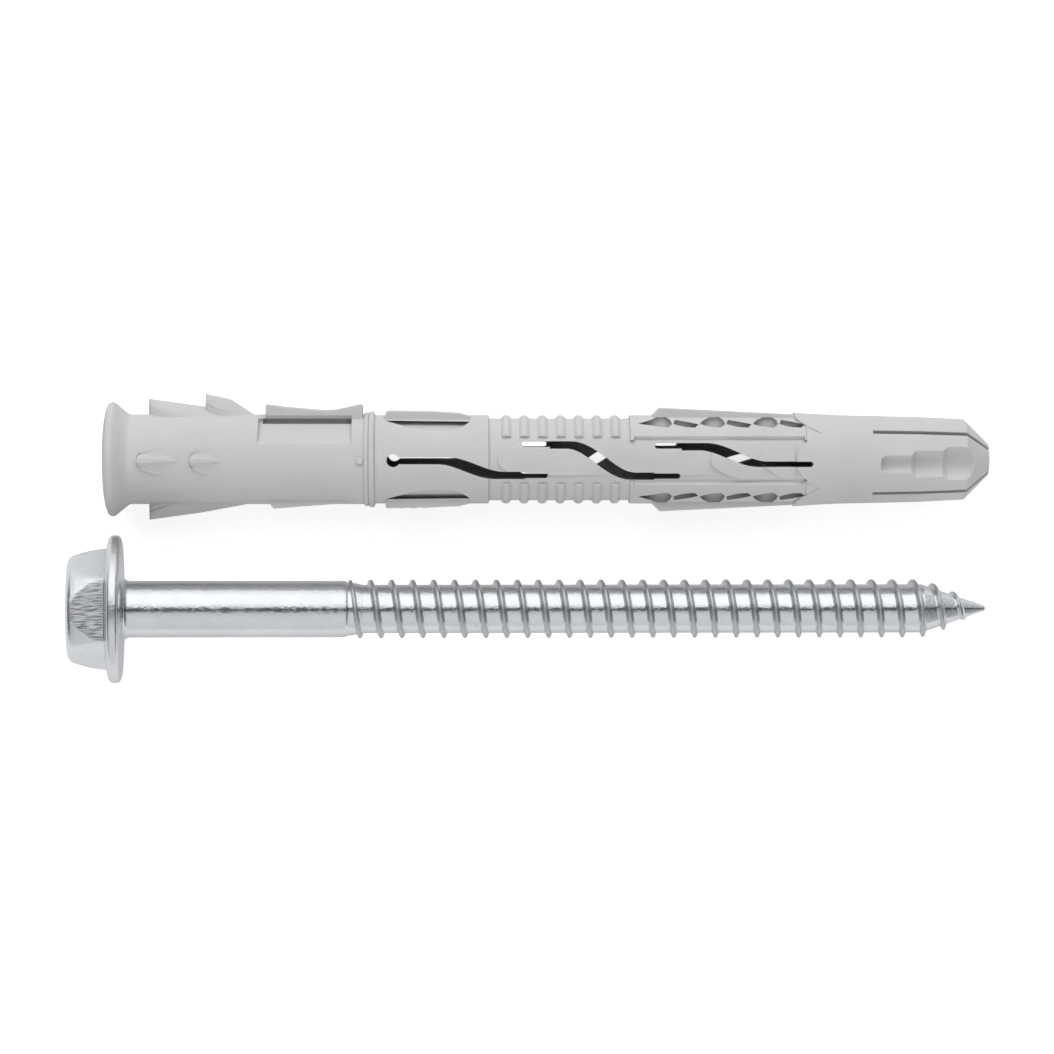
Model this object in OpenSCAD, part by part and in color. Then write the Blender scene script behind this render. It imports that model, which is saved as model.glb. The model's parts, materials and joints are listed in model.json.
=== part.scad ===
// Hex head frame fixing: a moulded nylon sleeve and the hex flange screw that goes with it.
// The two lie side by side on a flat surface, heads to the left (-X), the sleeve behind (+Y).
// Each piece is drawn along +X from its head end, and then laid down as it comes to rest.

/* [Sleeve] */
// Length of the sleeve from the face of its rim to its nose
sleeve_length = 100; // [96:1:160]
// Radius of the sleeve's round shaft behind the rim
shaft_r = 5.08; // [4.95:0.01:5.3]
// Radius of the sleeve along its expansion part
anchor_r = 5.01; // [4.9:0.01:5.2]
// Length of the expansion part with the ring in front of it
anchor_len = 70.6; // [70:0.1:75]

/* [Sleeve rim] */
// Largest radius of the rim
rim_r = 6.49; // [6.2:0.01:7]
// Radius of the flat front face of the rim
rim_face_r = 4.9; // [4.4:0.1:5.2]
// Length of the rim from its face to the end of its cone
rim_len = 2.9; // [2.5:0.1:4]
// Distance of the rim's widest place from its face
rim_wide_at = 0.86; // [0.6:0.02:1.2]

/* [Sleeve bore] */
// Play between the screw's shank and the bore, on the radius
bore_play = 0.2; // [0.1:0.05:0.4]
// Radius of the bore along the expansion part
anchor_bore_r = 2.45; // [2.2:0.05:2.6]
// Radius of the pilot bore inside the jaws
jaw_bore_r = 1.5; // [1.2:0.1:1.8]
// Solid length left between the pilot bore and the nose
nose_wall = 2.4; // [1.8:0.1:4]

/* [Sleeve wings] */
// Height of the front wing on either side, from the axis
wing_r = 6.86; // [6.2:0.02:7.4]
// Distance of the front wings from the rim's face
wing_at = 4.95; // [4.5:0.05:6]
// Clearance between the front wings and the pocket behind them
wing_gap = 0.6; // [0.4:0.1:2]
// Height of the hump behind the upper front wing, from the axis
hump_r = 7.42; // [6.9:0.02:7.8]
// Place of the hump along the upper front wing, as a share of the wing's length
hump_share = 0.54; // [0.4:0.01:0.6]
// Half the width of a side wing where it is widest
wing_half_w = 1.9; // [1.6:0.1:2.4]

/* [Sleeve barbs] */
// Height of the small barbs above the shaft
barb_rise = 0.48; // [0.3:0.02:0.8]
// Half the width that a small barb flares to
barb_half_w = 2.05; // [1.2:0.05:2.4]
// Length of the first small barb, as a share of the part in front of the ring
barb_share = 0.2; // [0.15:0.01:0.22]
// Distance of the first small barb from the rim's face
barb_at = 3.9; // [3.2:0.1:5]

/* [Sleeve lock levers] */
// Length of the lock levers, as a share of the part in front of the ring
lever_share = 0.381; // [0.3:0.001:0.42]
// Height of the lever above the pocket, from the axis
lever_r = 6.24; // [5.8:0.02:6.8]
// Height of the lever on the other side, from the axis
low_lever_r = 5.5; // [5.3:0.02:6]
// Half the thickness of the levers
lever_half_t = 2.2; // [1.4:0.1:2.4]
// Solid length left between the pocket beside the upper lever and the ring
pocket_gap = 1.5; // [1:0.1:3]

/* [Sleeve ring] */
// Largest radius of the ring in front of the expansion part
ring_r = 5.45; // [5.3:0.01:5.8]
// Width of the ring
ring_w = 1.1; // [0.8:0.05:1.4]

/* [Sleeve side ribs] */
// Height of the side ribs, from the axis
rib_r = 5.5; // [5.3:0.02:5.8]
// Length of the side ribs
rib_len = 9.5; // [8:0.1:10]

/* [Sleeve cross ribs] */
// Number of cross ribs on each flank
cross_ribs = 7; // [5:1:7]
// Distance from one cross rib to the next
cross_rib_pitch = 2.05; // [1.9:0.05:2.1]
// Depth of the valleys between the cross ribs
cross_rib_depth = 0.37; // [0.2:0.01:0.45]
// Angle between the top line of the sleeve and the ends of the cross ribs
cross_rib_from = 34; // [28:1:38]

/* [Sleeve slits] */
// Width of the wide stretches of the slits
slit_w = 0.84; // [0.6:0.02:1]
// Width of the slits in the middle of their bends
bend_w = 1.22; // [0.8:0.02:1.3]
// Width of the narrow ends of the slits
narrow_w = 0.62; // [0.4:0.02:0.64]
// Radius of the round hole at the start of the first slit
keyhole_r = 0.74; // [0.6:0.02:1]
// Distance from the ring to the round hole
keyhole_at = 3.2; // [3:0.1:4]
// How far the slits of the underside start to one side of those of the top
slit_shift = 0.38; // [0:0.02:0.4]
// Distance of the slits' straight stretches from the top line
slit_side = 1.74; // [1.5:0.02:1.9]
// Radius at the front of the raised tongues between the slits
tongue_r = 5.02; // [4.9:0.01:5.1]

/* [Sleeve toothed flanks] */
// Number of tooth pockets on each flank
teeth = 6; // [4:1:6]
// Height of the side fins, from the axis
fin_r = 5.84; // [5.5:0.02:6.2]
// Half the thickness of the side fins
fin_half_t = 1.5; // [1.2:0.1:1.8]

/* [Sleeve jaws] */
// Length of the tip shell, from its scalloped edge to the nose
tip_len = 22.1; // [20:0.1:22.5]
// Depth of the notches in the scalloped edge
notch_depth = 1.15; // [0.8:0.05:1.4]
// Radius of the tip shell at its scalloped edge
tip_r = 5.33; // [5.2:0.01:5.6]
// Radius of the tip shell where the nose cone starts
nose_r = 4.57; // [4.3:0.01:4.9]
// Radius of the flat end of the nose
nose_end_r = 1.8; // [1.2:0.1:2.4]
// Length of the nose cone
nose_len = 2.8; // [2:0.1:3.4]
// Length of the four jaws
jaw_len = 13.4; // [11:0.1:14]
// Turn of the jaws against the slits
jaw_turn = 4.5; // [0:0.5:10]
// Width of the slits between the jaws
jaw_slit_w = 0.46; // [0.3:0.02:0.6]

/* [Screw] */
// Length by which the screw, under its head, is shorter than the sleeve
screw_short = 1.9; // [1:0.1:6]
// Radius of the screw's plain shank
shank_r = 3.2; // [3:0.01:3.3]
// Length of the plain shank under the head
shank_len = 24.9; // [15:0.1:40]
// Radius of the fillet under the head
head_fillet = 0.85; // [0.4:0.05:1]

/* [Screw head] */
// Width of the hexagon across its flats
hex_af = 12; // [11:0.1:13]
// Height of the hexagon above the flange
hex_h = 4.43; // [4:0.01:6]
// Radius of the end face of the hexagon
hex_face_r = 5.43; // [5.1:0.01:5.6]
// Radius of the flange
flange_r = 8.33; // [8:0.01:9]
// Thickness of the flange at its root
flange_t = 1.75; // [1.4:0.05:2.2]
// Thickness of the flange at its edge
flange_edge_t = 1.5; // [1:0.05:1.6]

/* [Screw thread] */
// Radius of the thread's crest
thread_r = 3.31; // [3.25:0.01:3.5]
// Radius of the core between the turns
core_r = 2.75; // [2.5:0.01:2.8]
// Distance from one turn to the next
thread_pitch = 2.374; // [2:0.001:3]
// Width of a turn at its foot
thread_foot = 0.78; // [0.5:0.02:1]
// Width of a turn at its crest
thread_crest = 0.2; // [0.1:0.02:0.3]
// Length of the screw's point
point_len = 7.4; // [6:0.1:9]
// Radius at the very end of the point
point_r = 0.25; // [0.1:0.05:0.5]
// Flat pieces that each turn of the thread is made of
turn_steps = 20; // [12:1:24]

/* [Layout] */
// Distance between the axes of the sleeve and the screw
axis_gap = 16.94; // [16:0.01:20]
// Distance of the rim's face behind the end of the screw's head
sleeve_behind = 4.07; // [0:0.01:10]
// Roll of the sleeve about its own axis
sleeve_roll = 3; // [0:0.1:5]
// Roll of the screw about its own axis
screw_roll = 0.2; // [0:0.1:5]

/* [Hidden] */
$fn = 72;
// Overlap that makes a cut come out past a face
eps = 0.2;
// Places along the sleeve, all measured from the rim's face
ring_at = sleeve_length - anchor_len;
ring_to = ring_at + ring_w;
// The front part's features share out the length up to the ring
lever_at = ring_at * (1 - lever_share);
pocket_at = lever_at - 0.8;
wing_len = pocket_at - wing_gap - wing_at;
hump_at = wing_at + hump_share * wing_len;
barb_len = barb_share * ring_at;
rib_at = ring_to + 1.2;
cross_at = ring_at + 14;
cross_to = cross_at + cross_ribs * cross_rib_pitch + 1.5;
tip_at = sleeve_length - tip_len;
fin_at = cross_to + 3.4;
tooth_at = cross_to + 1.85;
tooth_pitch = (tip_at + notch_depth - tooth_at) / teeth;
nose_at = sleeve_length - nose_len;
jaw_at = sleeve_length - jaw_len;
valley_r = anchor_r - cross_rib_depth;
bore_r = shank_r + bore_play;
// Places along the screw, all measured from the end face of its head
flange_at = hex_h;
seat_at = flange_at + flange_t;
screw_end = seat_at + sleeve_length - screw_short;
shank_to = seat_at + shank_len;
point_at = screw_end - point_len;
thread_at = shank_to + 0.75 - 2 * thread_pitch;
last_crest_at = point_at - 0.8;
// The sleeve rests on its rim and on the edge of its tip shell
sleeve_tilt = atan((rim_r - tip_r) / (tip_at - rim_wide_at));
// The screw rests on the edge of its flange and on its last full turn
flange_mid = seat_at - 0.1 - flange_edge_t / 2;
screw_tilt = atan((flange_r - thread_r) / (last_crest_at - flange_mid));
// The screw is the longer piece, so it alone sets the middle of the length
screw_x = -(screw_end * cos(screw_tilt) - hex_face_r * sin(screw_tilt)) / 2;
sleeve_y = (axis_gap + flange_r - hump_r) / 2;

// A solid turned about the X axis from an outline of [along, radius] points
module turned(outline) {
  rotate([0, 90, 0]) rotate_extrude() polygon([for (p = outline) [p[1], p[0]]]);
}

// A round bar about the X axis
module bar(from, to, r) {
  translate([from, 0, 0]) rotate([0, 90, 0]) cylinder(h = to - from, r = r);
}

// A box given by its lowest and highest corner
module block(low, high) {
  translate(low) cube(high - low);
}

// What is drawn on the top of the sleeve comes again on its underside, half a turn round
module both_faces() {
  children();
  rotate([180, 0, 0]) children();
}

// A closed skin over cross sections of equal point count. Each starts at a point from which the
// whole section can be seen, and goes round towards +Z by way of +Y.
module skin(sections) {
  n = len(sections[0]);
  last = len(sections) - 1;
  sides = [for (i = [0:last - 1], j = [0:n - 1]) let (k = (j + 1) % n)
    each [[i * n + j, (i + 1) * n + k, i * n + k],
          [i * n + j, (i + 1) * n + j, (i + 1) * n + k]]];
  ends = [for (j = [1:n - 2]) each [[0, j, j + 1], [last * n, last * n + j + 1, last * n + j]]];
  polyhedron([for (s = sections) each s], concat(sides, ends));
}

function ramp(u) = (1 - cos(180 * min(max(u, 0), 1))) / 2;

// Barb on the top line: a blunt front lip that flares out and sinks into the shaft, a scooped
// face behind it, and a keel to its tail. Its rise is [at the front, halfway], its half widths
// [at the front, of the flared lip, of the keel], and flare is the lip's share of the length.
module barb(at, length, rise, half_ws, flare = 0.6, r = shaft_r, stations = 14) {
  sunk = 0.15;
  function lip_w(u) = half_ws[0] + (half_ws[1] - half_ws[0]) * pow(min(u / flare, 1), 0.45);
  function keel_w(u) = min(lip_w(u) * 0.8, half_ws[2] * pow(1.02 - u, 0.6));
  function keel(u) = u < 0.5 ? rise[0] + (rise[1] - rise[0]) * u / 0.5
                             : (rise[1] + sunk) * (1 - u) / 0.5 - sunk;
  function lip(u) = 0.55 * rise[0] * max(1 - u / flare, 0) - sunk * ramp((u - flare * 0.8) / 0.2);
  function section(u) =
    let (x = at + u * length, k = keel_w(u), w = lip_w(u), foot = r - 1.4,
         half = [[k * 0.4, keel(u)], [k, keel(u) * 0.5 + min(lip(u), 0) * 0.5],
                 [k + (w - k) * 0.4, lip(u) - (0.55 * lip(u) + 0.02) * min(u / 0.02, 1)],
                 [k + (w - k) * 0.85, lip(u)], [w, -sunk]])
    [[x, 0, foot], [x, w, foot],
     for (i = [4:-1:0]) [x, half[i][0], sqrt(r * r - pow(half[i][0], 2)) + half[i][1]],
     for (i = [0:4]) [x, -half[i][0], sqrt(r * r - pow(half[i][0], 2)) + half[i][1]],
     [x, -w, foot]];
  skin([for (i = [0:stations]) section(pow(i / stations, 1.5))]);
}

// Rim, shaft, ring, expansion part and tip shell in one turned body
module sleeve_body() {
  turned([[0, 0], [0, rim_face_r], [0.15, rim_face_r + 0.75], [0.4, rim_r - 0.2],
          [rim_wide_at - 0.2, rim_r - 0.04], [rim_wide_at, rim_r],
          [rim_wide_at + 0.2, rim_r - 0.05], [rim_wide_at + 0.5, rim_r - 0.26],
          [rim_len - 0.7, shaft_r + 0.41], [rim_len - 0.25, shaft_r + 0.08], [rim_len, shaft_r],
          [ring_at, shaft_r], [ring_at + ring_w / 2, anchor_r],
          [cross_at - 0.1, anchor_r], [cross_at, valley_r], [cross_to, valley_r],
          [tip_at + 1, valley_r], [tip_at + 1, 0]]);
  // Ring: a narrow collar and the round bead behind it
  bead = ring_w / 3;
  turned([[ring_at - 0.2, shaft_r - 0.3], [ring_at - 0.2, shaft_r], [ring_at, ring_r - 0.14],
          [ring_at + 0.34, ring_r - 0.12], [ring_at + 0.42, shaft_r], [ring_at + 0.42, shaft_r - 0.3]]);
  translate([ring_to - bead, 0, 0]) rotate([0, 90, 0]) rotate_extrude()
    translate([ring_r - bead, 0]) circle(r = bead);
}

// Tip shell with its scalloped edge, the nose and the radial slits that part the jaws
module tip_shell() {
  difference() {
    turned([[tip_at, 0], [tip_at, tip_r], [tip_at + 1.6, tip_r - 0.12],
            [tip_at + 5, tip_r - 0.3], [tip_at + 14, (tip_r + nose_r) / 2 - 0.12],
            [nose_at, nose_r], [sleeve_length, nose_end_r], [sleeve_length, 0]]);
    // Notches down to just above the body's own surface, each with a small facet behind it
    side = [[-eps, 3], [0.3, 2.1], [0.65, 1.55], [notch_depth, 1.15]];
    for (a = [-37, 37, 143, 217]) rotate([a, 0, 0]) {
      difference() {
        translate([tip_at, 0, 3]) linear_extrude(4) polygon(
          concat(side, [for (i = [len(side) - 1:-1:0]) [side[i][0], -side[i][1]]]));
        bar(tip_at - 1, tip_at + notch_depth + 1, valley_r + 0.03);
      }
      translate([0, 0, tip_r - 0.24]) linear_extrude(2) polygon(
        [[tip_at + notch_depth - 0.1, 1.1], [tip_at + notch_depth - 0.1, -1.1],
         [tip_at + notch_depth + 1.6, 0]]);
    }
  }
}

module jaw_cuts() {
  rotate([jaw_turn, 0, 0]) for (a = [45, 135]) rotate([a, 0, 0])
    block([jaw_at, -jaw_slit_w / 2, -shaft_r - 1], [sleeve_length + 1, jaw_slit_w / 2, shaft_r + 1]);
  // Stepped half-round recess in the back of the upper and of the lower jaw
  for (a = [0, 180]) rotate([a + jaw_turn, 0, 0]) translate([jaw_at, 0, nose_r + 0.45]) turned(
    [[0.75, 0], [0.8, 0.5], [1, 0.84], [1.3, 1], [4.2, 1], [4.45, 1.25], [4.75, 1.54],
     [7.8, 1.54], [8.05, 1.75], [8.4, 2.04], [10.2, 2.04], [11, 1.8], [11.7, 1.1], [12, 0]]);
}

// Wings and the hump that stop the sleeve from turning in the hole
module wings() {
  for (a = [-90, 90]) rotate([a, 0, 0])
    barb(wing_at, wing_len, [wing_r - shaft_r, (wing_r - shaft_r) * 0.54],
         [0.45, wing_half_w, 1.6], 0.26);
  rotate([-90, 0, 0])
    barb(hump_at, pocket_at - 0.4 - hump_at, [hump_r - shaft_r, (hump_r - shaft_r) * 0.74],
         [0.8, 1.3, 1.1]);
  both_faces() for (x = [barb_at, barb_at + barb_len + 0.05])
    barb(x, x == barb_at ? barb_len : barb_len * 0.75, [barb_rise, barb_rise * 0.62],
         [0.3, barb_half_w, 0.6]);
}

// Lock levers on the two sides, with the pocket that frees the upper one
module levers() {
  lever_to = ring_at - 0.3;
  lever_len = lever_to - lever_at;
  intersection() {
    translate([0, 0, -lever_half_t]) linear_extrude(2 * lever_half_t) polygon(
      [[lever_at, 3.6], [lever_at, lever_r - 0.04], [lever_at + 0.23 * lever_len, lever_r - 0.36],
       [lever_at + 0.62 * lever_len, lever_r - 0.7], [lever_at + 0.73 * lever_len, lever_r - 0.6],
       [lever_to - 0.3, lever_r], [lever_to, lever_r - 0.2], [lever_to, 3.6]]);
    turned([[lever_at - 1, 0], [lever_at - 1, lever_r + 0.3], [lever_to + 1, lever_r + 0.3],
            [lever_to + 1, 0]]);
  }
  translate([0, 0, -lever_half_t]) linear_extrude(2 * lever_half_t) polygon(
    [[lever_at, -4.3], [lever_at + 0.08 * lever_len, -low_lever_r],
     [lever_at + 0.81 * lever_len, -4.9], [lever_at + 0.81 * lever_len, -4.3]]);
}

module pocket() {
  pocket_len = ring_at - pocket_gap - pocket_at;
  // Flat floor on a chord of the shaft, below the lever
  translate([pocket_at, 1.9, sqrt(shaft_r * shaft_r - 1.9 * 1.9)]) rotate([-52, 0, 0])
    block([0, 0, 0], [pocket_len, 3.9, 2]);
  // Narrow gap between the floor and the lever
  block([pocket_at + 0.5, 4.05, 0.9], [pocket_at + pocket_len, 4.65, lever_half_t + 2]);
}

// Side ribs in front of the slits, each with a leaf-shaped groove along its foot
module side_ribs() {
  // The rib on the lower side has a wavy edge
  for (side = [0, 1]) rotate([180 * side, 0, 0]) translate([0, 0, -2.1]) linear_extrude(4.2)
    polygon([[rib_at, 4], [rib_at, rib_r - 0.15], [rib_at + 0.3, rib_r],
             for (i = [1:7]) [rib_at + 0.3 + i * rib_len * 0.075,
                              rib_r - 0.01 * i - 0.08 * side * (i % 2)],
             [rib_at + rib_len * 0.88, anchor_r + 0.22],
             [rib_at + rib_len, anchor_r - 0.1], [rib_at + rib_len, 4]]);
}

module side_rib_grooves() {
  foot = [4.42, 0.7];
  both_faces() for (side = [0, 1]) mirror([0, side, 0]) intersection() {
    linear_extrude(6) polygon(concat(
      [for (u = [0:0.1:1]) [rib_at + u * rib_len, foot[0] - 0.1 * u]],
      [for (u = [0.9:-0.1:0.1])
        [rib_at + u * rib_len, foot[0] - 0.1 * u - 1.15 * sin(180 * pow(1 - u, 0.7))]]));
    // Floor that falls from the surface to the foot of the rib
    translate([rib_at, foot[0], foot[1]]) rotate([-70, 0, 0]) block([-1, -4, 0], [rib_len + 1, 1, 5]);
  }
}

// Cross ribs on the flanks, with bare strips along the top and the underside
module flank_ribs() {
  sweep = 180 - 2 * cross_rib_from;
  for (i = [0:cross_ribs - 1], a = [cross_rib_from, 180 + cross_rib_from])
    translate([cross_at + 1.9 + i * cross_rib_pitch, 0, 0]) rotate([-a, 0, 0])
      rotate([0, 90, 0]) rotate([0, 0, 180]) mirror([0, 1, 0]) rotate_extrude(angle = sweep)
        polygon([[valley_r - 0.5, -0.6], [valley_r, -0.58], [anchor_r - 0.08, -0.34],
                 [anchor_r, -0.2], [anchor_r, 0.2], [anchor_r - 0.08, 0.34], [valley_r, 0.58],
                 [valley_r - 0.5, 0.6]]);
}

// Centre line of a slit: straight, a smooth bend across the top line, and straight again.
// A slit is [start, wide part from, bend from, bend to, wide part to, end, from y, to y].
slits = [[0, 0, 5.3, 12.1, 14.8, 17.05, 0, 0.08 - slit_side],
         [14.75, 17.6, 19.7, 27, 29.35, 31.95, slit_side, -slit_side],
         [29.7, 32.4, 34.7, 41.7, 41.7, 46.85, slit_side - 0.19, -0.39]];
function bend_share(s, x) = min(max((x - s[2]) / (s[3] - s[2]), 0), 1);
function slit_y(s, x) = s[6] + (s[7] - s[6]) * ramp(bend_share(s, x));
function slit_angle(s, x) = atan((slit_y(s, x + 0.05) - slit_y(s, x - 0.05)) / 0.1);
// Half the width, which swells in the bend. A slit with no wide part after it tapers there.
function slit_half(s, x) = let (u = bend_share(s, x), end_w = s[4] > s[3] ? slit_w : narrow_w)
  (slit_w + (end_w - slit_w) * u + (bend_w - slit_w) * sin(180 * u)) / 2;
function slit_point(s, x, side) = let (a = slit_angle(s, x), off = side * slit_half(s, x))
  [x - off * sin(a), slit_y(s, x) + off * cos(a)];
function slit_stops(s) = concat([s[1]], [for (i = [0:10]) s[2] + (s[3] - s[2]) * i / 10],
                                s[4] > s[3] ? [s[4]] : []);
// The same slit on the underside, where it starts further to one side
function under(s) = [for (i = [0:7]) s[i] - (i == 6 ? slit_shift : 0)];

module slit(s) {
  stops = slit_stops(s);
  n = len(stops);
  linear_extrude(6) polygon(concat([for (x = stops) slit_point(s, x, 1)],
                                   [for (i = [n - 1:-1:0]) slit_point(s, stops[i], -1)]));
  // Narrow ends, each closed by a half circle
  translate([s[4], s[7] - narrow_w / 2, 0]) cube([s[5] - s[4], narrow_w, 6]);
  translate([s[5], s[7], 0]) cylinder(h = 6, r = narrow_w / 2);
  if (s[0] == s[1]) translate([s[0], s[6], 0]) cylinder(h = 6, r = keyhole_r);
  else {
    translate([s[0], s[6] - narrow_w / 2 + 0.1, 0]) cube([s[1] - s[0] + 0.1, narrow_w, 6]);
    translate([s[0], s[6] + 0.1, 0]) cylinder(h = 6, r = narrow_w / 2);
  }
}

// The cuts start inside the bore, so the two faces are cut apart from each other
module slit_cuts() {
  cut_from = 1;
  translate([ring_at + keyhole_at, 0, 0]) for (s = slits) {
    translate([0, 0, cut_from]) slit(s);
    rotate([180, 0, 0]) translate([0, 0, cut_from]) slit(under(s));
  }
}

// Raised tongues between the slits: each steps up at its front and sinks to its tail.
// A tongue is [front from the round hole, length, length of its nose, half width, exponent of
// the nose's curve].
module tongues() {
  list = [[11.7, 13.5, 2, 1.65, 0.5], [24, 12.5, 2, 1.65, 0.5],
          [35.6, 8.4, 3.4, 2.1, 0.5], [40.9, 4.3, 3, 2.1, 0.75]];
  translate([ring_at + keyhole_at, 0, 0]) both_faces() for (t = list) intersection() {
    turned([[t[0], 2], [t[0], tongue_r], [t[0] + t[1], valley_r + 0.02], [t[0] + t[1], 2]]);
    linear_extrude(6) polygon(concat(
      [for (i = [0:8]) let (u = pow(i / 8, 2)) [t[0] + u * t[2], t[3] * pow(u, t[4])]],
      [[t[0] + t[1], t[3]], [t[0] + t[1], -t[3]]],
      [for (i = [8:-1:1]) let (u = pow(i / 8, 2)) [t[0] + u * t[2], -t[3] * pow(u, t[4])]]));
  }
}

// Flanks of the toothed part: rails along the tongues and fins on the sides
module flanks() {
  rail_y = 2.3;
  both_faces() for (side = [0, 1]) mirror([0, side, 0]) {
    intersection() {
      bar(cross_to, tip_at + notch_depth + eps, anchor_r);
      block([cross_to, rail_y, 0], [tip_at + notch_depth + eps, anchor_r + 1, anchor_r + 1]);
    }
    translate([0, 0, -eps]) linear_extrude(fin_half_t + eps) polygon(
      [[fin_at - 0.9, 4], [fin_at - 0.9, anchor_r - 0.1], [fin_at, fin_r],
       [tip_at + eps, anchor_r + 0.08], [tip_at + eps, 4]]);
  }
}

// Slanting grooves between the rails and the tongues
module rail_grooves() {
  both_faces() for (side = [0, 1]) mirror([0, side, 0])
    translate([cross_to + 0.4, 0, 0]) rotate([90, 0, 90])
      linear_extrude(tip_at + notch_depth - cross_to - 0.6)
        polygon([[2.22, 5.4], [2.09, 4.12], [2.32, 3.95], [2.85, 4.25], [3.1, 5.4]]);
}

// Tooth pockets between the rails and the fins, a deep and a shallow one by turns. The first
// one runs out to a long point.
module tooth_pockets() {
  both_faces() for (side = [0, 1], i = [0:teeth - 1]) mirror([0, side, 0])
    translate([tooth_at + i * tooth_pitch, 0, i % 2 == 0 ? 1.1 : 1.7]) linear_extrude(6) polygon(
      concat([[i == 0 ? -0.9 : 0.05, 4.1], [0.6, 3.9], [1.5, 3.72], [2.5, 3.68],
              [tooth_pitch - 0.35, 3.84], [tooth_pitch - 0.1, 4.02]],
             i % 2 == 0
             ? [[tooth_pitch - 0.25, 4.45], [2.3, 4.78], [1.2, 4.78], [0.5, 4.5]]
             : [[2, 4.22], [1, 4.4], [0.25, 4.5]]));
}

module sleeve() {
  color("gainsboro") difference() {
    union() {
      difference() {
        union() {
          sleeve_body();
          levers();
        }
        pocket();
      }
      tip_shell();
      wings();
      side_ribs();
      flank_ribs();
      tongues();
      flanks();
      // Small moulded nub in front of the ring
      block([ring_at - 0.9, -0.35, shaft_r - 0.4], [ring_at - 0.2, 0.35, shaft_r + 0.25]);
    }
    side_rib_grooves();
    rail_grooves();
    tooth_pockets();
    slit_cuts();
    jaw_cuts();
    turned([[-eps, 0], [-eps, bore_r], [ring_to + 1, bore_r], [ring_to + 3, anchor_bore_r],
            [jaw_at + 0.5, anchor_bore_r], [jaw_at + 2, jaw_bore_r],
            [sleeve_length - nose_wall - jaw_bore_r, jaw_bore_r], [sleeve_length - nose_wall, 0]]);
  }
}

// Hexagon, rounded off towards its end face, on a round flange
module screw_head() {
  intersection() {
    rotate([screw_roll + 30, 0, 0]) rotate([0, 90, 0])
      cylinder(h = hex_h + eps, r = hex_af / sqrt(3), $fn = 6);
    turned([[0, 0], [0, hex_face_r], [0.3, hex_face_r + 0.42], [0.6, hex_face_r + 0.62],
            [1.1, hex_face_r + 0.78], [2.4, hex_face_r + 1.14], [3.6, hex_face_r + 1.36],
            [hex_h + eps, hex_face_r + 1.52], [hex_h + eps, 0]]);
  }
  edge = flange_edge_t / 2;
  turned([[flange_at, 0], [flange_at, 6.9], [flange_mid - edge, flange_r - 0.6],
          [flange_mid - edge + 0.1, flange_r - 0.28], [flange_mid - edge + 0.3, flange_r - 0.08],
          [flange_mid - 0.3, flange_r], [flange_mid + 0.3, flange_r],
          [flange_mid + edge - 0.3, flange_r - 0.08], [flange_mid + edge - 0.1, flange_r - 0.28],
          [flange_mid + edge, flange_r - 0.6], [seat_at, shank_r + head_fillet + 1.2],
          [seat_at, 0]]);
}

module shank() {
  fillet = [for (a = [0:15:90]) [seat_at + head_fillet * (1 - cos(a)),
                                 shank_r + head_fillet * (1 - sin(a))]];
  turned(concat([[seat_at - eps, 0], [seat_at - eps, shank_r + head_fillet]], fillet,
                [[shank_to, shank_r], [shank_to + 0.45, thread_r - 0.27],
                 [shank_to + 1.4, core_r + 0.2], [shank_to + 2.6, core_r - 0.1],
                 [shank_to + 2.6, 0]]));
}

function core_at(x) = x < point_at ? core_r
  : max(point_r, core_r - (core_r - point_r) * (x - point_at) / (point_len - 0.4));
function crest_at(x) = let (d = thread_r - core_r)
  core_at(x) + d * min(1, max(0.04, (screw_end - 1.2 - x) / 3.4));

// Core and thread in one skin that winds along the screw, right-handed.
// Each step holds four points: foot, crest, crest and foot of the turn.
module threaded_core() {
  steps = floor((screw_end - 0.5 - thread_at) / thread_pitch * turn_steps);
  foot = thread_foot / 2;
  crest = thread_crest / 2;
  function place(k, off, crest_line) =
    let (a = 360 * k / turn_steps, x = thread_at + thread_pitch * k / turn_steps + off,
         r = crest_line ? crest_at(x) : core_at(x))
    [x, r * cos(a), r * sin(a)];
  rows = [for (k = [0:steps]) each [place(k, -foot, false), place(k, -crest, true),
                                    place(k, crest, true), place(k, foot, false)]];
  turns = [for (k = [0:steps - 1], j = [0:2]) let (p = 4 * k + j)
    each [[p, p + 1, p + 5], [p, p + 5, p + 4]]];
  gaps = [for (k = [0:steps - turn_steps - 1]) let (p = 4 * k + 3, q = 4 * (k + turn_steps))
    each [[p, q, q + 4], [p, q + 4, p + 4]]];
  start = len(rows);
  end = start + 1;
  start_cap = concat([for (k = [0:turn_steps - 1]) [start, 4 * k, 4 * k + 4]],
                     [[start, 4 * turn_steps, 3], [start, 3, 2], [start, 2, 1], [start, 1, 0]]);
  e = 4 * steps;
  end_cap = concat([for (k = [steps - turn_steps:steps - 1]) [end, 4 * k + 7, 4 * k + 3]],
                   [[end, e + 2, e + 3], [end, e + 1, e + 2], [end, e, e + 1],
                    [end, 4 * (steps - turn_steps) + 3, e]]);
  polyhedron(concat(rows, [[thread_at - foot, 0, 0], [screw_end, 0, 0]]),
             concat(turns, gaps, start_cap, end_cap));
}

module screw() {
  color("silver") union() {
    screw_head();
    shank();
    intersection() {
      threaded_core();
      block([shank_to + 0.9, -flange_r, -flange_r], [screw_end + 1, flange_r, flange_r]);
    }
  }
}

// A piece laid down: its contact circle of radius r at distance at touches the surface
module laid(x, y, roll, tilt, at, r) {
  translate([x, y, r * cos(tilt) + at * sin(tilt)]) rotate([0, tilt, 0]) rotate([roll, 0, 0])
    children();
}

laid(screw_x + sleeve_behind, sleeve_y, sleeve_roll, sleeve_tilt, rim_wide_at, rim_r) sleeve();
laid(screw_x, sleeve_y - axis_gap, 0, screw_tilt, flange_mid, flange_r) screw();
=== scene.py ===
import json
import math
import bmesh
import bpy
from mathutils import Matrix, Vector


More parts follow.
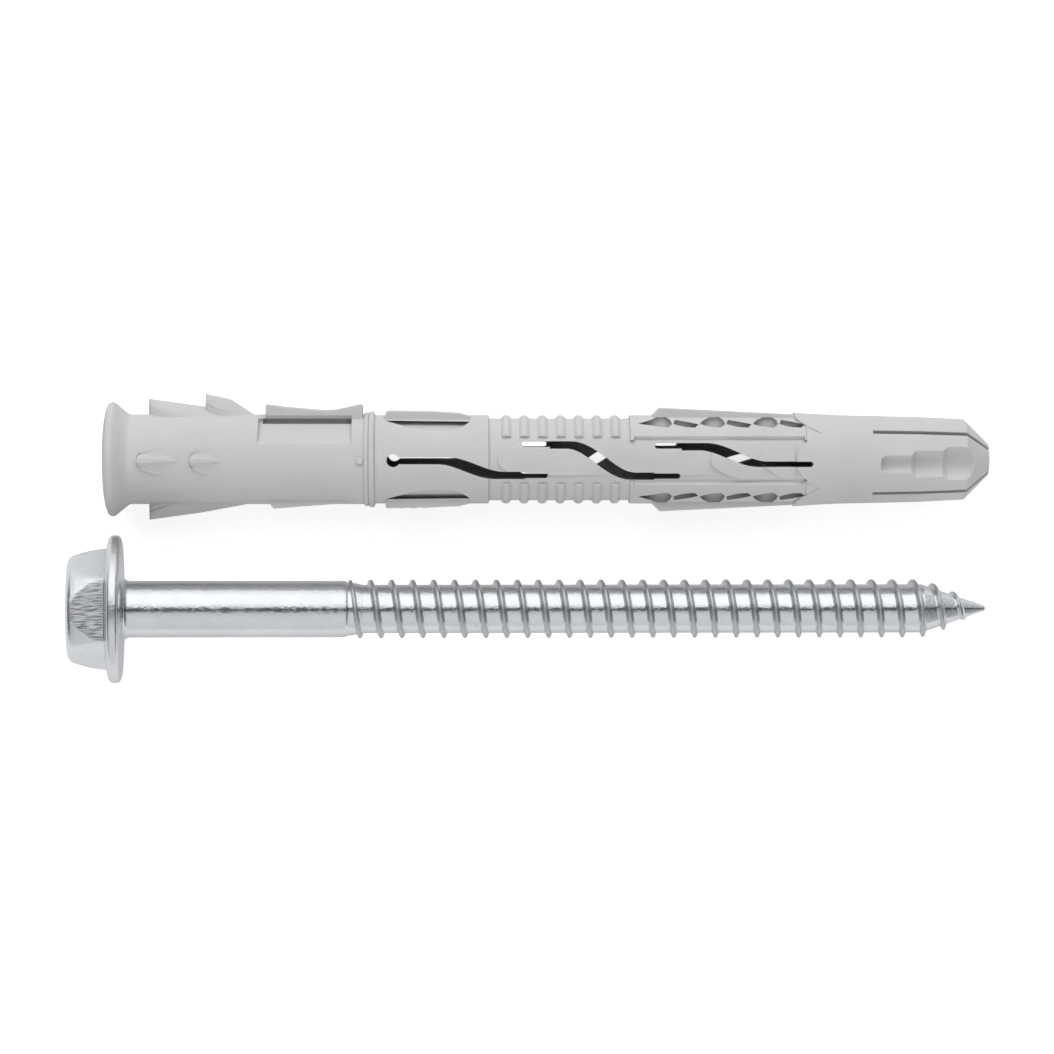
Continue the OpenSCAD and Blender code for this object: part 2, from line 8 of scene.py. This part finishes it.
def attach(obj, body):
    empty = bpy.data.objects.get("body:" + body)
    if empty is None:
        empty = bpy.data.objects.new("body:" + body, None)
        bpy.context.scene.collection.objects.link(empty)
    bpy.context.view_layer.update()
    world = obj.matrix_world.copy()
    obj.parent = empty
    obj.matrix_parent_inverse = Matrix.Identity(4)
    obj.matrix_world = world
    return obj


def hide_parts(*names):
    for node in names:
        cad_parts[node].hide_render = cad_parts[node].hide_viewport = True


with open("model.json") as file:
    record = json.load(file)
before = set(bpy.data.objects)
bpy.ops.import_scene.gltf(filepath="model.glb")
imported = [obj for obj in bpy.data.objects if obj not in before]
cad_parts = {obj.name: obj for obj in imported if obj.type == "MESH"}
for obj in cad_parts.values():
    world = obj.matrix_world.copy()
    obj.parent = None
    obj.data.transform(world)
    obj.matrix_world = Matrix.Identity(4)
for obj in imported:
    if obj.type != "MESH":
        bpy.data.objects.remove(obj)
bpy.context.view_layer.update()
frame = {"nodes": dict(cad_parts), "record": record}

scene = bpy.context.scene
scene.view_settings.view_transform = "Standard"

# Camera straight above, as the photo looks down on the two pieces laid side by side.
# One frame width is 119.4 mm at the height of the two axes.
shot_width = 0.11937
shot_middle = (-0.000155, 0.00125)
axes_height = 0.0062
camera_distance = 0.45
sensor_width = 36
camera = bpy.data.objects.new("camera", bpy.data.cameras.new("camera"))
scene.collection.objects.link(camera)
camera.location = (*shot_middle, axes_height + camera_distance)
camera.data.sensor_width = sensor_width
camera.data.lens = sensor_width * camera_distance / shot_width
camera.data.clip_start = 0.01
camera.data.clip_end = 20
scene.camera = camera

# Studio: a wide soft light behind the object, an even pale surround, and a narrow dark gap
# straight overhead that the plated steel mirrors as a thin line.
world = bpy.data.worlds.new("studio")
scene.world = world
world.use_nodes = True
surround = world.node_tree
surround.nodes.clear()


def feed(node, feeds):
    """Give a node's sockets, by name or place, their values or the outputs they take."""
    for socket, source in feeds.items():
        if isinstance(source, bpy.types.NodeSocket):
            node.id_data.links.new(source, node.inputs[socket])
        else:
            node.inputs[socket].default_value = source


def add_node(tree, kind, feeds=None, **settings):
    """A new node in a tree, with its settings and what feeds its sockets."""
    node = tree.nodes.new(kind)
    for setting, value in settings.items():
        setattr(node, setting, value)
    feed(node, feeds or {})
    return node


direction = add_node(surround, "ShaderNodeTexCoord")
split = add_node(surround, "ShaderNodeSeparateXYZ", {0: direction.outputs["Generated"]})
# Angle from straight up towards the back of the scene, the same all along the object
lean = add_node(surround, "ShaderNodeMath", {0: split.outputs["Y"], 1: split.outputs["Z"]},
                operation="ARCTAN2")
turn = add_node(surround, "ShaderNodeMapRange",
                {"Value": lean.outputs[0], "From Min": -math.pi, "From Max": math.pi})
# Brightness of the surround by that angle in degrees: pale walls, the gap, the softbox
sky_stops = [(-128, 0.58), (-87, 0.66), (-48, 0.71), (-26, 0.68), (-14, 0.56), (-9, 0.28),
             (-6, 0.06), (-1, 0.03), (3, 0.1), (6, 0.5), (11, 0.92), (18, 1.1), (28, 1.2),
             (58, 1.22), (70, 1.05), (84, 0.86), (105, 0.75), (139, 0.7)]
by_angle = add_node(surround, "ShaderNodeValToRGB", {"Fac": turn.outputs["Result"]})
stops = by_angle.color_ramp.elements
stops.remove(stops[1])
for degrees, light in sky_stops:
    stops.new(degrees / 360 + 0.5).color = (light, light, light, 1)
stops.remove(stops[0])
# The studio is dark past both ends of the object
aside = add_node(surround, "ShaderNodeMath", {0: split.outputs["X"]}, operation="ABSOLUTE")
end_dark = add_node(surround, "ShaderNodeMapRange",
                    {"Value": aside.outputs[0], "From Min": 0.4, "From Max": 0.95,
                     "To Min": 1, "To Max": 0.15}, interpolation_type="SMOOTHSTEP")
lit = add_node(surround, "ShaderNodeBackground",
               {"Color": by_angle.outputs["Color"], "Strength": end_dark.outputs["Result"]})
# The camera itself sees plain white behind everything
seen = add_node(surround, "ShaderNodeBackground", {"Color": (1, 1, 1, 1), "Strength": 1})
rays = add_node(surround, "ShaderNodeLightPath")
choose = add_node(surround, "ShaderNodeMixShader",
                  {0: rays.outputs["Is Camera Ray"], 1: lit.outputs[0], 2: seen.outputs[0]})
add_node(surround, "ShaderNodeOutputWorld", {"Surface": choose.outputs[0]})

lamp_width = 0.9
lamp_depth = 0.45
for lamp_name, lamp_place, power, tint in (
        ("soft_light", (-0.05, 0.52, 0.42), 2.1, (0.97, 1, 1)),
        ("front_fill", (0, -0.62, 0.25), 1.7, (1, 0.95, 0.96))):
    lamp = bpy.data.objects.new(lamp_name, bpy.data.lights.new(lamp_name, "AREA"))
    scene.collection.objects.link(lamp)
    lamp.data.shape = "RECTANGLE"
    lamp.data.size = lamp_width
    lamp.data.size_y = lamp_depth
    lamp.data.energy = power
    lamp.data.color = tint
    lamp.location = lamp_place
    lamp.rotation_euler = (-lamp.location).to_track_quat("-Z", "Y").to_euler()
    lamp.visible_glossy = False

# Floor: one pale matt sheet, far larger than the object, that the two pieces lie on.
# It glows a little to the camera and in the plating, and keeps the object's shadow.
floor_reach = 3.0
seen_glow = 0.73
mirrored_glow = 0.18
floor_mesh = bpy.data.meshes.new("floor")
floor_mesh.from_pydata([(x * floor_reach, y * floor_reach, 0)
                        for x, y in ((-1, -1), (1, -1), (1, 1), (-1, 1))], [], [(0, 1, 2, 3)])
floor = bpy.data.objects.new("floor", floor_mesh)
scene.collection.objects.link(floor)
paper = bpy.data.materials.new("white_sheet")
paper.use_nodes = True
sheet = paper.node_tree
path = add_node(sheet, "ShaderNodeLightPath")
mirrored = add_node(sheet, "ShaderNodeMath", {0: path.outputs["Is Glossy Ray"], 1: mirrored_glow},
                    operation="MULTIPLY")
glow = add_node(sheet, "ShaderNodeMath",
                {0: path.outputs["Is Camera Ray"], 1: seen_glow, 2: mirrored.outputs[0]},
                operation="MULTIPLY_ADD")
feed(sheet.nodes["Principled BSDF"],
     {"Base Color": (0.66, 0.66, 0.66, 1), "Roughness": 0.9, "Specular IOR Level": 0.1,
      "Emission Color": (1, 1, 1, 1), "Emission Strength": glow.outputs[0]})
floor_mesh.materials.append(paper)

# Sleeve: one nylon moulding with wings, levers, slits and toothed flanks, light grey and satin.
# It is moulded in one shot, so its edges are slightly soft and its skin has a faint grain.
mounts = {m["name"]: m for m in frame["record"]["mounts"]}
bore_point = Vector(mounts["screw_bore"]["pos_m"])
bore_axis = Vector(mounts["screw_bore"]["axis"]).normalized()
crease = math.radians(28)
weld_reach = 0.000002
same_radius = 0.000005
small_face = 0.000001
broad_weight = 90
# How much a face looks straight away from the bore: edge on, squarely, or near enough
on_edge = 0.05
squarely = 0.97
near_enough = 0.85


def spoke(point):
    """The way from the bore's axis to a point, square to the axis."""
    offset = point - bore_point
    return offset - bore_axis * offset.dot(bore_axis)


def round_facing(points, normal):
    """1 or -1 where a face looks straight out or in on a cylinder about the bore, 0 off one."""
    spokes = [spoke(point) for point in points]
    reaches = [line.length for line in spokes]
    if max(reaches) - min(reaches) > same_radius:
        return 0
    return normal.dot(sum(spokes, Vector()).normalized())


shape = bmesh.new()
shape.from_mesh(frame["nodes"]["sleeve"].data)
shape.transform(frame["nodes"]["sleeve"].matrix_world)
bmesh.ops.remove_doubles(shape, verts=shape.verts, dist=weld_reach)
# A few narrow bands between the cross ribs have triangles that cut across the curve. Their
# edges are turned, with those of the small faces beside them, so that they follow it.
facings = {face: abs(round_facing([v.co for v in face.verts], face.normal))
           for face in shape.faces}
folded = {face for face in shape.faces if on_edge < facings[face] < squarely}
mended = folded | {other for face in folded for edge in face.edges for other in edge.link_faces
                   if facings[other] > squarely and other.calc_area() < small_face}
bmesh.ops.beautify_fill(
    shape, faces=[face for face in shape.faces if face in mended],
    edges=[edge for edge in shape.edges
           if len(edge.link_faces) == 2 and all(face in mended for face in edge.link_faces)])
shape.normal_update()
for face in shape.faces:
    face.smooth = True
    face.material_index = 0
for edge in shape.edges:
    edge.smooth = len(edge.link_faces) == 2 and edge.calc_face_angle(0) < crease
sleeve_mesh = bpy.data.meshes.new("sleeve_moulding")
shape.to_mesh(sleeve_mesh)
shape.free()
sleeve = bpy.data.objects.new("sleeve_moulding", sleeve_mesh)
scene.collection.objects.link(sleeve)
# Broad faces lead the shading, so the round parts show no bands where small faces join them
even_out = sleeve.modifiers.new("even_out", "WEIGHTED_NORMAL")
even_out.weight = broad_weight
even_out.keep_sharp = True
sleeve.data = bpy.data.meshes.new_from_object(
    sleeve.evaluated_get(bpy.context.evaluated_depsgraph_get()))
sleeve.data.name = "sleeve_moulding"
sleeve.modifiers.clear()
# The shading is exactly round on the faces that lie on a cylinder about the bore
normals = [corner.vector.copy() for corner in sleeve.data.corner_normals]
for face in sleeve.data.polygons:
    points = [sleeve.data.vertices[i].co for i in face.vertices]
    facing = round_facing(points, face.normal)
    if abs(facing) > near_enough:
        for corner, point in zip(face.loop_indices, points):
            normals[corner] = spoke(point).normalized() * math.copysign(1, facing)
sleeve.data.normals_split_custom_set(normals)


def two_tones(tree, mask, low, high):
    """A colour that goes from one tone to another as a mask passes their two positions."""
    ramp = add_node(tree, "ShaderNodeValToRGB", {"Fac": mask})
    for stop, (position, colour) in zip(ramp.color_ramp.elements, (low, high)):
        stop.position = position
        stop.color = (*colour, 1)
    return ramp.outputs["Color"]


grain = bpy.data.node_groups.new("moulding_skin", "ShaderNodeTree")
grain.interface.new_socket("Shade", in_out="OUTPUT", socket_type="NodeSocketColor")
grain.interface.new_socket("Normal", in_out="OUTPUT", socket_type="NodeSocketVector")
place = add_node(grain, "ShaderNodeTexCoord").outputs["Object"]
clouds = add_node(grain, "ShaderNodeTexNoise", {"Vector": place, "Scale": 160, "Detail": 3})
greys = two_tones(grain, clouds.outputs["Fac"],
                  (0.3, (0.565, 0.561, 0.562)), (0.7, (0.6, 0.597, 0.598)))
pits = add_node(grain, "ShaderNodeTexNoise", {"Vector": place, "Scale": 2600, "Detail": 2})
soft = add_node(grain, "ShaderNodeBevel", {"Radius": 0.00014}, samples=6)
bumps = add_node(grain, "ShaderNodeBump",
                 {"Strength": 0.12, "Distance": 0.00004, "Height": pits.outputs["Fac"],
                  "Normal": soft.outputs["Normal"]})
add_node(grain, "NodeGroupOutput", {"Shade": greys, "Normal": bumps.outputs["Normal"]})
nylon = bpy.data.materials.new("grey_nylon")
nylon.use_nodes = True
skin = add_node(nylon.node_tree, "ShaderNodeGroup", node_tree=grain)
feed(nylon.node_tree.nodes["Principled BSDF"],
     {"Base Color": skin.outputs["Shade"], "Normal": skin.outputs["Normal"],
      "Roughness": 0.46, "Specular IOR Level": 0.4, "Subsurface Weight": 0.25,
      "Subsurface Radius": (0.9, 0.9, 0.9), "Subsurface Scale": 0.0007})
sleeve.data.materials.append(nylon)
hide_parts("sleeve")
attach(sleeve, "root")

# Screw, head and shank: cold-forged steel, a hexagon on a round flange, bright zinc plated.
# The forged hexagon is rounded off towards its end face and its edges are soft.
seat = 0.00618
fillet = 0.00085
half_plain_shank = 0.012025
hex_half = 0.006
hex_roll = math.radians(0.2)
corner_round = 0.00035
forged_round = 0.00022
rim_steps = 240
mm = 0.001
# Half sections as [along, radius] in millimetres, each stretch with its number of steps
head_line = [(0, 0, 1), (0, 5.0, 6), (0.02, 5.2, 3), (0.1, 5.5, 3), (0.3, 5.83, 4),
             (0.6, 6.04, 4), (1.1, 6.21, 5), (2.4, 6.57, 12), (3.6, 6.79, 10), (4.35, 6.93, 8)]
flange_line = [(4.43, 7.0, 2), (4.56, 7.62, 3), (4.62, 7.86, 3), (4.7, 8.05, 3), (4.8, 8.18, 2),
               (4.92, 8.27, 2), (5.06, 8.32, 2), (5.2, 8.33, 2), (5.46, 8.33, 2), (5.6, 8.32, 2),
               (5.74, 8.27, 2), (5.86, 8.18, 2), (5.96, 8.05, 2), (6.04, 7.86, 2), (6.1, 7.6, 2),
               (6.17, 5.4, 4), (6.18, 4.06, 3)]
fillet_line = [(6.18 + 0.85 * (1 - math.cos(math.radians(a))),
                3.2 + 0.85 * (1 - math.sin(math.radians(a))), 2) for a in range(10, 91, 10)]
shank_line = [(20, 3.2, 24), (31.08, 3.2, 22), (31.28, 3.16, 3), (31.53, 3.04, 3),
              (32.48, 2.93, 5), (33.68, 2.62, 5)]
# Place of the screw: its own X runs from the head's end face to the point
screw_dir = Vector(mounts["shank"]["axis"]).normalized()
screw_side = Vector((0, 1, 0))
screw_up = screw_dir.cross(screw_side)
screw_end = Vector(mounts["shank"]["pos_m"]) - screw_dir * (seat + fillet + half_plain_shank)
screw_place = Matrix.Identity(4)
for column, way in enumerate((screw_dir, screw_side, screw_up, screw_end)):
    for line in range(3):
        screw_place[line][column] = way[line]


def along(line):
    """Points along a half section, each stretch cut into its steps."""
    points = [line[0][:2]]
    for x, r, steps in line[1:]:
        x0, r0 = points[-1]
        points += [(x0 + (x - x0) * i / steps, r0 + (r - r0) * i / steps)
                   for i in range(1, steps + 1)]
    return points


def soft_least(a, b, width):
    """The smaller of two lengths, with a round corner of the given width where they cross."""
    h = max(width - abs(a - b), 0) / width
    return min(a, b) - h * h * width / 4


def hexagon_reach(angle):
    """Distance from the axis to the hexagon's side, with slightly rounded corners."""
    off_middle = (angle + math.pi / 6) % (math.pi / 3) - math.pi / 6
    near = hex_half / math.cos(off_middle)
    other = hex_half / math.cos(math.pi / 3 - abs(off_middle))
    return soft_least(near, other, corner_round)


head_points = along(head_line)
rest_points = along([head_points[-1] + (1,)] + flange_line + fillet_line + shank_line)[1:]
turned = bmesh.new()
rings = []
for x, r in head_points[1:] + rest_points:
    ring = []
    in_head = (x, r) in head_points
    for i in range(rim_steps):
        angle = 2 * math.pi * i / rim_steps
        reach = r * mm
        if in_head:
            side = hexagon_reach(angle - math.pi / 2 - hex_roll)
            reach = soft_least(reach, side, forged_round)
        ring.append(turned.verts.new((x * mm, reach * math.cos(angle), reach * math.sin(angle))))
    rings.append(ring)
end_middle = turned.verts.new((0, 0, 0))
for i in range(rim_steps):
    j = (i + 1) % rim_steps
    turned.faces.new((end_middle, rings[0][i], rings[0][j]))
    for near, far in zip(rings, rings[1:]):
        turned.faces.new((near[i], far[i], far[j], near[j]))
tail = turned.verts.new((rest_points[-1][0] * mm, 0, 0))
for i in range(rim_steps):
    turned.faces.new((tail, rings[-1][(i + 1) % rim_steps], rings[-1][i]))


def finish_in_place(metalwork, mesh):
    """Point the faces outwards, smooth them, put the shape in the screw's place as a mesh."""
    bmesh.ops.recalc_face_normals(metalwork, faces=metalwork.faces)
    for face in metalwork.faces:
        face.smooth = True
    metalwork.transform(screw_place)
    metalwork.to_mesh(mesh)
    metalwork.free()
    piece = bpy.data.objects.new(mesh.name, mesh)
    scene.collection.objects.link(piece)
    return piece


head = finish_in_place(turned, bpy.data.meshes.new("screw_head_and_shank"))

# The plating, on all of the screw: bright, with faint patches, fine dents and the marks of how
# each part was made, and painted shade along the upper flat's streaks and on the thread's crests.
# Its places along X lie in the flange's rim and in the fillet behind it.
ripple = bpy.data.node_groups.new("plated_ripple", "ShaderNodeTree")
ripple.interface.new_socket("Shade", in_out="OUTPUT", socket_type="NodeSocketColor")
ripple.interface.new_socket("Roughness", in_out="OUTPUT", socket_type="NodeSocketFloat")
ripple.interface.new_socket("Normal", in_out="OUTPUT", socket_type="NodeSocketVector")
where = add_node(ripple, "ShaderNodeTexCoord").outputs["Object"]
patches = add_node(ripple, "ShaderNodeTexNoise", {"Vector": where, "Scale": 420, "Detail": 4})
shade = two_tones(ripple, patches.outputs["Fac"],
                  (0.3, (0.76, 0.785, 0.81)), (0.72, (0.83, 0.85, 0.87)))
gloss = add_node(ripple, "ShaderNodeMapRange",
                 {"Value": patches.outputs["Fac"], "To Min": 0.12, "To Max": 0.2})
dents = add_node(ripple, "ShaderNodeTexNoise", {"Vector": where, "Scale": 2400, "Detail": 3})
waves = add_node(ripple, "ShaderNodeBump",
                 {"Strength": 0.8, "Distance": 0.00004, "Height": dents.outputs["Fac"]})
# The hexagon's upper flat: in front of the flange, level along the screw, facing up
spread = add_node(ripple, "ShaderNodeSeparateXYZ", {0: where})
in_front = add_node(ripple, "ShaderNodeMapRange",
                    {"Value": spread.outputs["X"], "From Min": -0.0471, "From Max": -0.0472})
surface = add_node(ripple, "ShaderNodeNewGeometry")
outward = add_node(ripple, "ShaderNodeSeparateXYZ", {0: surface.outputs["Normal"]})
level = add_node(ripple, "ShaderNodeMapRange",
                 {"Value": outward.outputs["X"], "From Min": -0.13, "From Max": -0.05})
upward = add_node(ripple, "ShaderNodeMapRange",
                  {"Value": outward.outputs["Z"], "From Min": 0.8, "From Max": 0.95})
level_up = add_node(ripple, "ShaderNodeMath",
                    {0: level.outputs["Result"], 1: upward.outputs["Result"]},
                    operation="MULTIPLY")
on_flat = add_node(ripple, "ShaderNodeMath",
                   {0: in_front.outputs["Result"], 1: level_up.outputs[0]}, operation="MULTIPLY")
# Drawn streaks run along that flat as dents; the dark lines along them are painted shade, for the
# darker reflections the streaked plating shows
long_way = add_node(ripple, "ShaderNodeMapping", {"Vector": where, "Scale": (0.07, 1, 1)})
streaks = add_node(ripple, "ShaderNodeTexNoise",
                   {"Vector": long_way.outputs["Vector"], "Scale": 9000, "Detail": 3})
drawn = add_node(ripple, "ShaderNodeBump",
                 {"Strength": on_flat.outputs[0], "Distance": 0.00006,
                  "Height": streaks.outputs["Fac"], "Normal": waves.outputs["Normal"]})
# Painted shade: how dark the lines along the streaks are painted, on the upper flat only
painted_streak_lines = add_node(ripple, "ShaderNodeMapRange",
                       {"Value": streaks.outputs["Fac"], "From Min": 0.43, "From Max": 0.6,
                        "To Max": 0.8}, interpolation_type="SMOOTHSTEP")
painted_streak_shade = add_node(ripple, "ShaderNodeMath",
                     {0: painted_streak_lines.outputs["Result"], 1: on_flat.outputs[0]},
                     operation="MULTIPLY")
# The forged head is duller than the wire, its upper flat more so, and the rolled crests of
# the thread are duller. The crests are also greyed in colour, a painted shade for their darker
# reflections
crests = add_node(ripple, "ShaderNodeAttribute", attribute_name="crest")
on_head = add_node(ripple, "ShaderNodeMapRange",
                   {"Value": spread.outputs["X"], "From Min": -0.0452, "From Max": -0.046,
                    "To Max": 0.12})
forged = add_node(ripple, "ShaderNodeMath",
                  {0: on_head.outputs["Result"], 1: gloss.outputs["Result"]}, operation="ADD")
rough = add_node(ripple, "ShaderNodeMath",
                 {0: on_flat.outputs[0], 1: 0.16, 2: forged.outputs[0]}, operation="MULTIPLY_ADD")
dull = add_node(ripple, "ShaderNodeMath",
                {0: crests.outputs["Fac"], 1: 0.2, 2: rough.outputs[0]}, operation="MULTIPLY_ADD")
# A Mix node's sockets for colours go by place, as their names are shared with its other kinds
mix_share, mix_from, mix_to, mix_result = 0, 6, 7, 2
# Painted shade: the thread's crests greyed in colour
crest_painted_shade = add_node(ripple, "ShaderNodeMix",
                  {mix_share: crests.outputs["Fac"], mix_from: shade,
                   mix_to: (0.6, 0.61, 0.625, 1)}, data_type="RGBA")
# Painted shade darkens the upper flat's colour along its streaks
painted_streak_mix = add_node(ripple, "ShaderNodeMix",
                  {mix_share: painted_streak_shade.outputs[0], mix_from: crest_painted_shade.outputs[mix_result],
                   mix_to: (0.2, 0.2, 0.21, 1)}, data_type="RGBA")
add_node(ripple, "NodeGroupOutput",
         {"Shade": painted_streak_mix.outputs[mix_result], "Roughness": dull.outputs[0],
          "Normal": drawn.outputs["Normal"]})
zinc = bpy.data.materials.new("bright_zinc")
zinc.use_nodes = True
plated = add_node(zinc.node_tree, "ShaderNodeGroup", node_tree=ripple)
feed(zinc.node_tree.nodes["Principled BSDF"],
     {"Base Color": plated.outputs["Shade"], "Metallic": 1,
      "Roughness": plated.outputs["Roughness"], "Normal": plated.outputs["Normal"]})
head.data.materials.append(zinc)
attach(head, "root")
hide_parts("screw")

# Thread: rolled into the same wire as the shank, right-handed, running out on the point.
# One long strip of its section is wound round the axis and welded edge to edge.
winding = bpy.data.node_groups.new("wound_thread", "GeometryNodeTree")
winding.is_modifier = True
winding.interface.new_socket("Geometry", in_out="OUTPUT", socket_type="NodeSocketGeometry")
thread_sizes = {"Start": 0.027, "Length": 0.07726, "Pitch": 0.002374, "Core Radius": 0.00275,
                "Crest Height": 0.00056, "Half Foot": 0.00042, "Half Crest": 0.00011,
                "Run In": 0.0043, "Point Length": 0.0074, "Point Radius": 0.00025,
                "Run Out": 0.0046}
thread_steps = {"Steps per Turn": 60, "Steps per Pitch": 28}
run_in_rise = 0.0005
bare_tip = 0.0012
for size_name in thread_sizes:
    winding.interface.new_socket(size_name, in_out="INPUT", socket_type="NodeSocketFloat")
for steps_name in thread_steps:
    winding.interface.new_socket(steps_name, in_out="INPUT", socket_type="NodeSocketInt")
winding.interface.new_socket("Plating", in_out="INPUT", socket_type="NodeSocketMaterial")
given = add_node(winding, "NodeGroupInput").outputs


def maths(operation, *terms):
    """The result of a math node, named by its operation, over numbers and outputs."""
    return add_node(winding, "ShaderNodeMath", dict(enumerate(terms)),
                    operation=operation).outputs[0]


def fade(value, low, high, interpolation="SMOOTHSTEP"):
    """0 up to low, 1 from high on."""
    return add_node(winding, "ShaderNodeMapRange",
                    {"Value": value, "From Min": low, "From Max": high},
                    interpolation_type=interpolation).outputs["Result"]


# The strip has a row for each step round the axis, and lies across one pitch
turns = maths("DIVIDE", given["Length"], given["Pitch"])
row_count = maths("CEIL", maths("MULTIPLY", turns, given["Steps per Turn"]))
strip = add_node(winding, "GeometryNodeMeshGrid",
                 {"Size X": 1, "Size Y": 1, "Vertices X": maths("ADD", given["Steps per Pitch"], 1),
                  "Vertices Y": row_count})
spot = add_node(winding, "ShaderNodeSeparateXYZ",
                {0: add_node(winding, "GeometryNodeInputPosition").outputs[0]})
across = spot.outputs["X"]
row = maths("ROUND", maths("MULTIPLY", maths("ADD", spot.outputs["Y"], 0.5),
                           maths("SUBTRACT", row_count, 1)))
wound_turns = maths("DIVIDE", row, given["Steps per Turn"])
distance = maths("MULTIPLY", maths("ADD", wound_turns, across), given["Pitch"])
reach_along = maths("MINIMUM", distance, given["Length"])
left = maths("SUBTRACT", given["Length"], reach_along)
# The core tapers to a blunt point
slim = maths("MINIMUM", maths("DIVIDE", left, given["Point Length"]), 1)
taper = maths("MULTIPLY", maths("SUBTRACT", given["Core Radius"], given["Point Radius"]), slim)
blunt = maths("SQRT", maths("MINIMUM", maths("DIVIDE", left, given["Point Radius"]), 1))
core = maths("MULTIPLY", maths("ADD", given["Point Radius"], taper), blunt)
# The crest rises on it, and is low at both ends of the thread
beside = maths("MULTIPLY", maths("ABSOLUTE", across), given["Pitch"])
rise = maths("SUBTRACT", 1, fade(beside, given["Half Crest"], given["Half Foot"]))
run_out = fade(left, bare_tip, given["Run Out"], "LINEAR")
run_in = fade(reach_along, given["Run In"], maths("ADD", given["Run In"], run_in_rise))
ends_low = maths("MULTIPLY", run_in, run_out)
crest = maths("MULTIPLY", maths("MULTIPLY", given["Crest Height"], rise), ends_low)
radius = maths("ADD", core, crest)
swing = maths("MULTIPLY", wound_turns, 2 * math.pi)
wound = add_node(winding, "ShaderNodeCombineXYZ",
                 {"X": maths("ADD", given["Start"], reach_along),
                  "Y": maths("MULTIPLY", radius, maths("COSINE", swing)),
                  "Z": maths("MULTIPLY", radius, maths("SINE", swing))})
# The plating is told where the crests are before the strip is bent
marked = add_node(winding, "GeometryNodeStoreNamedAttribute",
                  {"Geometry": strip.outputs["Mesh"], "Name": "crest",
                   "Value": maths("MULTIPLY", rise, ends_low)})
bend = add_node(winding, "GeometryNodeSetPosition",
                {"Geometry": marked.outputs["Geometry"], "Position": wound.outputs[0]})
weld = add_node(winding, "GeometryNodeMergeByDistance",
                {"Geometry": bend.outputs["Geometry"], "Distance": weld_reach})
even = add_node(winding, "GeometryNodeSetShadeSmooth", {"Geometry": weld.outputs["Geometry"]})
real = add_node(winding, "GeometryNodeRealizeInstances", {"Geometry": even.outputs["Geometry"]})
coat = add_node(winding, "GeometryNodeSetMaterial",
                {"Geometry": real.outputs["Geometry"], "Material": given["Plating"]})
add_node(winding, "NodeGroupOutput", {"Geometry": coat.outputs["Geometry"]})

maker = bpy.data.objects.new("thread_maker", bpy.data.meshes.new("thread_maker"))
scene.collection.objects.link(maker)
wind = maker.modifiers.new("wind", "NODES")
wind.node_group = winding
thread_inputs = {**thread_sizes, **thread_steps, "Plating": zinc}
for item in winding.interface.items_tree:
    if item.in_out == "INPUT":
        wind[item.identifier] = thread_inputs[item.name]
thread_mesh = bpy.data.meshes.new_from_object(
    maker.evaluated_get(bpy.context.evaluated_depsgraph_get()))
thread_mesh.name = "screw_thread"
maker.modifiers.clear()
bpy.data.objects.remove(maker)
rolled = bmesh.new()
rolled.from_mesh(thread_mesh)
thread = finish_in_place(rolled, thread_mesh)
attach(thread, "root")
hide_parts("screw")
